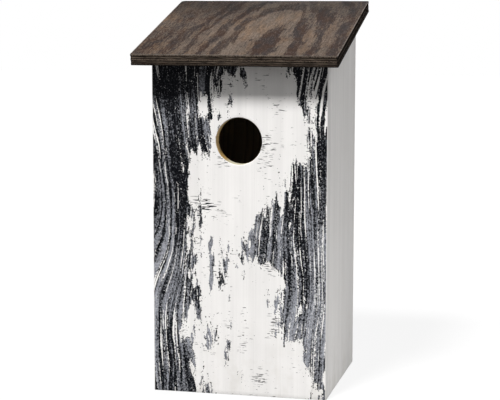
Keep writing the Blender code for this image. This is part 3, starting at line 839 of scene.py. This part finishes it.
def entrance_cutter(sizes):
    """A turned shape whose two ends flare over the rims."""
    ease = sizes.entrance_ease
    wide = sizes.entrance_diameter / 2 + ease
    profile = [(0, ease), (wide, ease)]
    profile += arc((wide, -ease), ease, 90, 180, 4)
    profile += arc((wide, ease - BOARD), ease, 180, 270, 4)
    profile += [(wide, -BOARD - ease), (0, -BOARD - ease)]
    place = Matrix.Translation((0, FRONT_Y, ENTRANCE_Z)) @ Matrix.Rotation(math.pi / 2, 4, "X")
    return turned(profile, 96, place)


def entrance_chips(sizes):
    """Small breaks in the entrance's rims, from their (angle, depth, size)."""
    cutter = bmesh.new()
    for number, (degrees, depth, size) in enumerate(ENTRANCE_CHIPS):
        reach = sizes.entrance_diameter / 2 + size * 0.45
        x, z = reach * math.cos(math.radians(degrees)), reach * math.sin(math.radians(degrees))
        rock(cutter, Vector((x, FRONT_Y + depth, ENTRANCE_Z + z)), size, number)
    return cutter


def roof_chips():
    """Breaks and knots of the roof, as (x, y, z, radius) in its own place."""
    half, depth, top = ROOF_SIZE.x / 2, ROOF_SIZE.y, ROOF_SIZE.z
    chips = [
        (half + 0.0004, depth - 0.0006, top * 0.5, 0.0016),
        (-0.0173, depth + 0.0003, top + 0.0002, 0.0014),
        (-half - 0.0004, 0.0310, top + 0.0005, 0.0012),
        (0.0385, -0.0006, -0.0003, 0.0013),
        (-0.0520, -0.0007, top + 0.0006, 0.0012),
    ]
    return chips + [(x * MM, y * MM, top + 0.0006, 0.0009) for x, y in PIN_KNOTS]


def lay_plies(bm, sizes):
    """Groove the glue lines round the edges, and set the cross plies back."""
    width, depth, top = ROOF_SIZE
    count = sizes.ply_count
    lines = [top * number / count for number in range(1, count)]
    for line in lines:
        for offset in (-sizes.glue_groove / 2, 0, sizes.glue_groove / 2):
            slice_at(bm, line + offset, UP)
    edge = sizes.roof_corner * 1.01
    for vert in bm.verts:
        height = vert.co.z
        if min(abs(height - line) for line in lines) < SAME_PLACE:
            inset = sizes.glue_groove
        elif int(height / top * count) % 2 == 1:
            inset = sizes.ply_recess
        else:
            continue
        if abs(vert.co.x) > width / 2 - edge:
            vert.co.x -= math.copysign(inset, vert.co.x)
        from_middle = vert.co.y - depth / 2
        if abs(from_middle) > depth / 2 - edge:
            vert.co.y -= math.copysign(inset, from_middle)


def keyhole_cutter(radius, slot, steps, start, end, sizes):
    """A keyhole from one Y to another. radius and slot are those of its lower and upper part."""
    middle = (PLATE_LOW.z + PLATE_HIGH.z) / 2
    rise = sizes.keyhole_rise / 2
    meet = math.degrees(math.acos(slot / radius))
    outline = arc((0, middle - rise), radius, 180 - meet, 360 + meet, steps)
    outline += arc((0, middle + rise), slot, 0, 180, 16)
    bm = bmesh.new()
    extrude(bm, [(x, start, z) for x, z in outline], (0, end - start, 0))
    return bm


# Fasteners


def numbered(name, count):
    return [f"{name}_{number}" for number in range(1, count + 1)]


HINGE_SCREWS = {"left": (1, 2), "right": (3, 4)}
BACK_NAILS = numbered("back_nail", 6)
HIDDEN_NAILS = numbered("front_nail", 6) + numbered("floor_nail", 4)
HANGER_SCREWS = numbered("hanger_screw", 2)
BACK_SCREWS = HANGER_SCREWS + numbered("hinge_back_screw", 4)
ROOF_SCREWS = numbered("hinge_roof_screw", 4)
SCREW_TURN = 0.9


def facing(place, direction):
    """Matrix that puts the Z axis of a shape at a place, along a direction."""
    return Matrix.Translation(place) @ direction.to_track_quat("Z", "Y").to_matrix().to_4x4()


def at_head(node, direction):
    return facing(end_of(node, direction), direction)


def profile_of(node, direction):
    """A fastener's (radius, height) pairs about the middle of its head, from the head down."""
    middle = end_of(node, direction)
    rings = {}
    for point in cad_points(node):
        offset = point - middle
        height = offset.dot(direction)
        radius = (offset - direction * height).length
        key = round(height / MM, 2)
        rings[key] = max(radius, rings.get(key, 0))
    profile = [(rings[key], key * MM) for key in sorted(rings, reverse=True)]
    return [(0, profile[0][1])] + profile + [(0, profile[-1][1])]


def eased_rim(profile, ease):
    """A head's profile with its sharp rim taken off."""
    radius, height = profile[1]
    below = profile[2]
    slope = (radius - below[0]) / (height - below[1])
    worn = [
        (radius - ease, height),
        (radius - ease * (0.35 + slope * 0.2), height - ease * 0.15),
        (radius - ease * slope * 0.6, height - ease * 0.6),
    ]
    return profile[:1] + worn + profile[2:]


def add_sockets(bm, nodes, direction, sizes):
    """Add the holes round fasteners, with mouths that reach past their heads."""
    gap = sizes.socket_gap
    for node in nodes:
        profile = profile_of(node, direction)
        rings = [(radius + gap, height) for radius, height in profile[1:-1]]
        mouth = (rings[0][0], BOARD / 3)
        end = (rings[-1][0], rings[-1][1] - gap)
        outline = [(0, mouth[1]), mouth] + rings + [end, (0, end[1])]
        turned(outline, 24, at_head(node, direction), bm)


def slotted_screw(node, direction, spin, sizes):
    """A countersunk screw with one driver slot, turned by an angle."""
    profile = profile_of(node, direction)
    head = profile[1][0]
    shank = profile[-3][0]
    bm = turned(eased_rim(profile, sizes.screw_ease), 40)
    half = head * sizes.screw_slot
    depth = (head - shank) * sizes.screw_slot_depth
    bm = carve(bm, block(Vector((-2 * head, -half, -depth)), Vector((2 * head, half, head))))
    bm.transform(at_head(node, direction) @ Matrix.Rotation(spin, 4, "Z"))
    return bm


def peened_pin(node):
    """A hinge pin with two domed ends."""
    along = Vector((1, 0, 0))
    radii = [radius for radius, _ in profile_of(node, along)[1:-1]]
    head = max(radii)
    shank = min(radius for radius in radii if radius > head / 2)
    low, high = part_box(node)
    end = (high.x - low.x) / 2
    rise = head - shank
    shoulder = end - rise
    upper = [(shank, shoulder), (head, shoulder)] + arc((shank, shoulder), rise, 0, 90, 6)[1:]
    upper += [(0, end)]
    lower = [(radius, -height) for radius, height in reversed(upper)]
    return turned(lower + upper, 32, facing((low + high) / 2, along))


def rolled_leaf(node, turn, up, sizes):
    """A hinge leaf rolled round the pin, with the other leaf's knuckles cut out.

    It is made about the pin's axis, with the wood on the -Y side. up is 1 where its free edge
    is above the pin, and -1 where it is below.
    """
    low, high = box_in(turn, node)
    axis = turn.inverted() @ HINGE_AXIS
    half = (high.x - low.x) / 2
    outer = axis.y - low.y
    reach = high.z - axis.z if up > 0 else axis.z - low.z
    face = sizes.leaf_gauge - outer
    roll_end = -math.degrees(sizes.roll_end)
    section = [(-outer, -reach)]
    section += arc((0, 0), outer, 180, roll_end, 28)
    section += arc((0, 0), sizes.pin_bore / 2, roll_end, 180, 20)
    section += [(face, -outer * 0.8), (face, -reach)]
    bm = bmesh.new()
    extrude(bm, [(-half, y, -up * z) for y, z in section], (2 * half, 0, 0))
    across = edges_along(bm, 1)
    corners = [edge for edge in across if abs(abs(edge.verts[0].co.z) - reach) < SAME_PLACE]
    bevel(bm, corners, sizes.leaf_corner, 5)

    cutter = bmesh.new()
    gap = sizes.knuckle_gap
    middle = (half - gap) / 3
    stretches = [(-2 * half, -middle), (middle, 2 * half)]
    if up < 0:
        stretches = [(-middle - gap, middle + gap)]
    far = 2 * outer
    bottom, top = sorted((-up * far, up * (outer + gap)))
    for start, end in stretches:
        block(Vector((start, -far, bottom)), Vector((end, far, top)), cutter)
    bm = carve(bm, cutter)
    place = Vector(((low.x + high.x) / 2, axis.y, axis.z))
    bm.transform(turn @ Matrix.Translation(place))
    return bm


# Stage

CAMERA_PLACE = Vector((0.2346, -1.0275, 0.2745))
CAMERA_YAW = math.radians(13.15)
CAMERA_PITCH = math.radians(7.89)
CAMERA_ROLL = math.radians(0.04)
CAMERA_OPTICS = {"lens": 107.08, "sensor_width": 36.0, "clip_start": 0.05, "clip_end": 50.0}
# Each sun's name, strength, width, tilt and heading, the last three in degrees
SUNS = (("key_light", 4.05, 13, 36.5, -20), ("back_light", 1.5, 30, 55, 172))
SKY_STRENGTH = 0.34
FILL_PLACE = Vector((0.297, -0.1, 0.02))
FILL_AIM = Vector((0.061, -0.1, -0.034))
FILL_LAMP = {"energy": 0.19, "shape": "RECTANGLE", "size": 0.1, "size_y": 0.04}
FLOOR_HALF = 4.0
FLOOR_SHADE = 0.12
FLOOR_GLOW = 0.84


def seen_directly(tree):
    """1 for what the camera, a reflection or glass sees, and 0 for the light that falls."""
    path = tree.nodes.new("ShaderNodeLightPath").outputs
    rays = [Value(path[f"Is {kind} Ray"]) for kind in ("Camera", "Glossy", "Transmission")]
    return rays[0].at_least(rays[1]).at_least(rays[2])


def make_floor():
    bm = bmesh.new()
    bmesh.ops.create_grid(bm, x_segments=1, y_segments=1, size=FLOOR_HALF)
    floor = place_mesh("studio_floor", bm)
    material = bpy.data.materials.new("studio_floor")
    material.use_nodes = True
    tree = material.node_tree
    shader = tree.nodes["Principled BSDF"].inputs
    feed(shader, {"Base Color": (FLOOR_SHADE, FLOOR_SHADE, FLOOR_SHADE, 1), "Roughness": 1.0})
    feed(shader, {"Specular IOR Level": 0.0, "Emission Color": WHITE})
    feed(shader, {"Emission Strength": seen_directly(tree) * FLOOR_GLOW})
    floor.data.materials.append(material)


def make_lamp(name, kind, **settings):
    lamp = bpy.data.lights.new(name, kind)
    configure(lamp, settings)
    return place_data(name, lamp)


def make_light():
    scene = bpy.context.scene
    world = bpy.data.worlds.new("studio")
    scene.world = world
    world.use_nodes = True
    strength = seen_directly(world.node_tree).between(SKY_STRENGTH, 1.0)
    feed(world.node_tree.nodes["Background"].inputs, {"Color": WHITE, "Strength": strength})
    for name, strength, width, tilt, heading in SUNS:
        sun = make_lamp(name, "SUN", energy=strength, angle=math.radians(width))
        sun.rotation_euler = (math.radians(tilt), 0, math.radians(heading))
    fill = make_lamp("side_light", "AREA", **FILL_LAMP)
    fill.matrix_world = facing(FILL_PLACE, FILL_PLACE - FILL_AIM)
    fill.visible_camera = False
    fill.visible_glossy = False
    scene.view_settings.view_transform = "Standard"


def make_camera():
    data = bpy.data.cameras.new("photo_camera")
    configure(data, CAMERA_OPTICS)
    camera = place_data("photo_camera", data)
    turn = Matrix.Rotation(CAMERA_YAW, 4, "Z") @ Matrix.Rotation(math.pi / 2 - CAMERA_PITCH, 4, "X")
    turn = turn @ Matrix.Rotation(CAMERA_ROLL, 4, "Z")
    camera.matrix_world = Matrix.Translation(CAMERA_PLACE) @ turn
    bpy.context.scene.camera = camera


# Operators


class NESTBOX_OT_front(bpy.types.Operator):
    """Make the front panel with its print and its round entrance"""

    bl_idname = "nestbox.front"
    bl_label = "Front Panel"

    def execute(self, context):
        sizes = context.scene.nest_box_sizes
        bm = wall_block(FRONT_LOW, FRONT_HIGH, FRONT_Y, sizes, 1.0)
        bm = carve(bm, entrance_cutter(sizes))
        bm = carve(bm, entrance_chips(sizes))
        painted_to = FRONT_Y + sizes.entrance_ease * 0.7
        bore = sizes.entrance_diameter / 2 + 4 * sizes.entrance_ease

        def choose(centre, normal):
            if -normal.y > math.cos(SMOOTH_BELOW / 2):
                return 0
            behind = centre.y > painted_to
            from_bore = math.hypot(centre.x, centre.z - ENTRANCE_Z)
            if behind and from_bore < bore and normal.y < 0.9:
                return 3
            return 2 if behind and abs(centre.x) < SIDE_X - sizes.corner_round else 1

        looks = ("printed_board_paint", *BOARD_LOOKS, "fresh_cut_wood")
        replaced = ("printed_paint", BOX_BODY, "front_panel")
        finish_piece("printed_front", bm, looks, *replaced, choose)
        return {"FINISHED"}


class NESTBOX_OT_sides(bpy.types.Operator):
    """Make the two painted side boards, with the seam to the front panel filled"""

    bl_idname = "nestbox.sides"
    bl_label = "Side Boards"

    def execute(self, context):
        sizes = context.scene.nest_box_sizes
        for node, sign in (("left_side", -1), ("right_side", 1)):
            low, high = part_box(node)
            low.y = FRONT_Y + BOARD
            high.y = BACK_Y - BOARD
            bm = wall_block(low, high, None, sizes, 2.0 + sign)

            def choose(centre, normal):
                return sign * centre.x < SIDE_X - BOARD / 2 or abs(normal.z) > FACES_THAT_WAY

            replaced = ("white_paint", BOX_BODY, node)
            finish_piece("painted_" + node, bm, BOARD_LOOKS, *replaced, choose)
        return {"FINISHED"}


class NESTBOX_OT_back(bpy.types.Operator):
    """Make the back panel with the recess for a wall screw and the holes of its fasteners"""

    bl_idname = "nestbox.back"
    bl_label = "Back Panel"

    def execute(self, context):
        sizes = context.scene.nest_box_sizes
        bm = wall_block(BACK_LOW, BACK_HIGH, BACK_Y, sizes, 4.0)
        radius = sizes.keyhole_diameter / 2 + sizes.recess_margin
        start = BACK_Y - sizes.recess_depth
        cutter = keyhole_cutter(radius, radius, 16, start, BACK_Y + BOARD, sizes)
        add_sockets(cutter, BACK_NAILS + BACK_SCREWS, BACK, sizes)
        bm = carve(bm, cutter)

        def choose(centre, normal):
            at_face = centre.y > BACK_Y - sizes.corner_round and normal.y > FACES_THAT_WAY
            return not (at_face or abs(centre.x) > SIDE_X - sizes.corner_round)

        replaced = ("white_paint", BOX_BODY, "back_panel")
        finish_piece("painted_back", bm, BOARD_LOOKS, *replaced, choose)
        return {"FINISHED"}


class NESTBOX_OT_floor(bpy.types.Operator):
    """Make the floor with its four drain holes"""

    bl_idname = "nestbox.floor"
    bl_label = "Floor"

    def execute(self, context):
        sizes = context.scene.nest_box_sizes
        low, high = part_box("floor")
        bm = block(low, high)
        bevel(bm, sharp_edges(bm), sizes.board_ease, 2)
        divide(bm, (0, 1), low, high, sizes.mesh_step)
        roughen(bm, bm.verts, sizes.board_unevenness, BOARD_WAVE, 5.0)
        cutter = bmesh.new()
        radius = sizes.drain_diameter / 2
        inset = sizes.drain_inset
        profile = [(0, -BOARD), (radius, -BOARD), (radius, 2 * BOARD), (0, 2 * BOARD)]
        for x in (low.x + inset, high.x - inset):
            for y in (low.y + inset, high.y - inset):
                turned(profile, 32, Matrix.Translation((x, y, 0)), cutter)
        bm = carve(bm, cutter)
        finish_piece("bare_floor", bm, ["lying_bare_wood"], "raw_wood", BOX_BODY, "floor")
        return {"FINISHED"}


class NESTBOX_OT_roof(bpy.types.Operator):
    """Make the plywood roof with its plies, worn edges, knots and chipped corner"""

    bl_idname = "nestbox.roof"
    bl_label = "Roof"

    def execute(self, context):
        sizes = context.scene.nest_box_sizes
        low = Vector((-ROOF_SIZE.x / 2, 0, 0))
        high = low + ROOF_SIZE
        bm = block(low, high)
        uprights = edges_along(bm, 2)
        worn = min(uprights, key=lambda edge: edge.verts[0].co.x - edge.verts[0].co.y)
        bevel(bm, [worn], sizes.worn_corner, 6)
        bevel(bm, [edge for edge in uprights if edge.is_valid], sizes.roof_corner, 4)
        bevel(bm, sharp_edges(bm), sizes.roof_ease, 3)
        lay_plies(bm, sizes)
        divide(bm, (0, 1), low, high, sizes.mesh_step)
        roughen(bm, bm.verts, sizes.roof_unevenness, ROOF_WAVE, 6.0)
        bm.transform(ROOF_PLACE)
        cutter = bmesh.new()
        add_sockets(cutter, ROOF_SCREWS, ROOF_BACK, sizes)
        for number, (x, y, z, radius) in enumerate(roof_chips()):
            rock(cutter, ROOF_PLACE @ Vector((x, y, z)), radius, number)
        bm = carve(bm, cutter)

        def choose(_, normal):
            return abs(normal.dot(ROOF_UP)) < FACES_THAT_WAY

        looks = ("stained_veneer", "plywood_edge")
        replaced = ("stained_plywood", ROOF_BODY, "roof")
        finish_piece("plywood_roof", bm, looks, *replaced, choose)
        return {"FINISHED"}


class NESTBOX_OT_hinges(bpy.types.Operator):
    """Make the rolled leaves and the pins of the two hinges"""

    bl_idname = "nestbox.hinges"
    bl_label = "Hinges"

    def execute(self, context):
        sizes = context.scene.nest_box_sizes
        for side, screws in HINGE_SCREWS.items():
            for board, turn, up, body in (
                ("back", UPRIGHT, -1, BOX_BODY),
                ("roof", PITCHED, 1, ROOF_BODY),
            ):
                node = f"{side}_hinge_{board}_leaf"
                bm = rolled_leaf(node, turn, up, sizes)
                cutter = bmesh.new()
                holes = [f"hinge_{board}_screw_{number}" for number in screws]
                add_sockets(cutter, holes, turn @ BACK, sizes)
                bm = carve(bm, cutter)
                finish_piece("rolled_" + node, bm, *PLATED, body, node)
            node = side + "_hinge_pin"
            finish_piece("peened_" + node, peened_pin(node), *PLATED, BOX_BODY, node)
        return {"FINISHED"}


class NESTBOX_OT_hanger(bpy.types.Operator):
    """Make the pressed hanger plate with its keyhole"""

    bl_idname = "nestbox.hanger"
    bl_label = "Hanger Plate"

    def execute(self, context):
        sizes = context.scene.nest_box_sizes
        bm = block(PLATE_LOW, PLATE_HIGH)
        bevel(bm, edges_along(bm, 1), sizes.plate_corner, 8)
        bevel(bm, sharp_edges(bm), sizes.plate_ease, 2)
        radii = (sizes.keyhole_diameter / 2, sizes.keyhole_slot / 2)
        cutter = keyhole_cutter(*radii, 40, PLATE_LOW.y - MM, PLATE_HIGH.y + MM, sizes)
        add_sockets(cutter, HANGER_SCREWS, BACK, sizes)
        bm = carve(bm, cutter)
        finish_piece("keyhole_plate", bm, *PLATED, BOX_BODY, "hanger_plate")
        return {"FINISHED"}


class NESTBOX_OT_fasteners(bpy.types.Operator):
    """Make the screws and the nails that show, and finish the ones that the paint hides"""

    bl_idname = "nestbox.fasteners"
    bl_label = "Screws and Nails"

    def execute(self, context):
        sizes = context.scene.nest_box_sizes
        screws = [(node, BACK, BOX_BODY) for node in BACK_SCREWS]
        screws += [(node, ROOF_BACK, ROOF_BODY) for node in ROOF_SCREWS]
        for number, (node, out, body) in enumerate(screws):
            bm = slotted_screw(node, out, number * SCREW_TURN, sizes)
            finish_piece("slotted_" + node, bm, *PLATED, body, node)
        for node in BACK_NAILS:
            profile = eased_rim(profile_of(node, BACK), sizes.screw_ease)
            bm = turned(profile, 24, at_head(node, BACK))
            finish_piece("driven_" + node, bm, ["nail_steel"], "nail_steel", BOX_BODY, node)
        for node in HIDDEN_NAILS:
            for material_slot in frame["nodes"][node].material_slots:
                material_slot.material = finish("nail_steel")
        return {"FINISHED"}


class NESTBOX_OT_stage(bpy.types.Operator):
    """Make the pale floor, the soft light and the camera"""

    bl_idname = "nestbox.stage"
    bl_label = "Stage"

    def execute(self, context):
        make_floor()
        make_light()
        make_camera()
        return {"FINISHED"}


class NESTBOX_PT_panel(bpy.types.Panel):
    """Lists the pieces, and the sizes and colours that they are made with"""

    bl_idname = "NESTBOX_PT_panel"
    bl_label = "Nest Box"
    bl_space_type = "VIEW_3D"
    bl_region_type = "UI"
    bl_category = "Nest Box"

    def draw(self, context):
        for operator in OPERATORS:
            self.layout.operator(operator.bl_idname)
        for group in (context.scene.nest_box_sizes, context.scene.nest_box_colours):
            column = self.layout.column(align=True)
            for name in group.__annotations__:
                column.prop(group, name)


OPERATORS = (
    NESTBOX_OT_stage,
    NESTBOX_OT_front,
    NESTBOX_OT_sides,
    NESTBOX_OT_back,
    NESTBOX_OT_floor,
    NESTBOX_OT_roof,
    NESTBOX_OT_hinges,
    NESTBOX_OT_hanger,
    NESTBOX_OT_fasteners,
)
CLASSES = (NestBoxSizes, NestBoxColours, *OPERATORS, NESTBOX_PT_panel)


def register():
    for cls in CLASSES:
        bpy.utils.register_class(cls)
    bpy.types.Scene.nest_box_sizes = PointerProperty(type=NestBoxSizes)
    bpy.types.Scene.nest_box_colours = PointerProperty(type=NestBoxColours)


def unregister():
    del bpy.types.Scene.nest_box_colours
    del bpy.types.Scene.nest_box_sizes
    for cls in reversed(CLASSES):
        bpy.utils.unregister_class(cls)


def main():
    register()
    bpy.ops.nestbox.stage()
    bpy.ops.nestbox.front()
    bpy.ops.nestbox.sides()
    bpy.ops.nestbox.back()
    bpy.ops.nestbox.floor()
    bpy.ops.nestbox.roof()
    bpy.ops.nestbox.hinges()
    bpy.ops.nestbox.hanger()
    bpy.ops.nestbox.fasteners()


if __name__ == "__main__":
    main()
